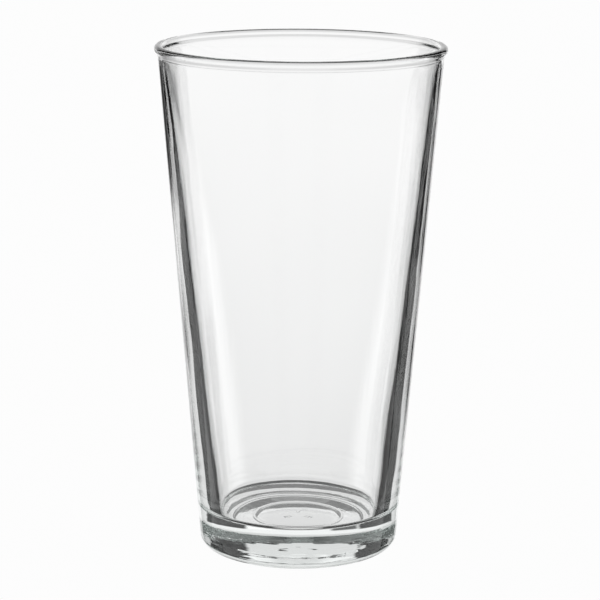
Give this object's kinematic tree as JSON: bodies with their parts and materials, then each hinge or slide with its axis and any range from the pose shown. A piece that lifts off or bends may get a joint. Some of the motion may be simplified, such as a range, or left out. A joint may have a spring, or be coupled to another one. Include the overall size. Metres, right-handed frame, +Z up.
{
  "type": "pint glass",
  "caption": "Heavy-based conical drinking glass with a rolled lip and a hollow under its foot, pressed in one piece of clear glass.",
  "frame": {"origin": "centre of the standing ring, on the surface that the glass stands on", "axes": "+Z up along the axis of the glass; of the three short bars at the middle of the base, one points to +Y"},
  "size_m": [0.0888, 0.0888, 0.157],
  "materials": {
    "clear_glass": "clear pressed soda-lime glass, fire-polished, faintly green where it is thick"
  },
  "bodies": {
    "root": {"glass_body": "clear_glass"}
  },
  "joints": []
}
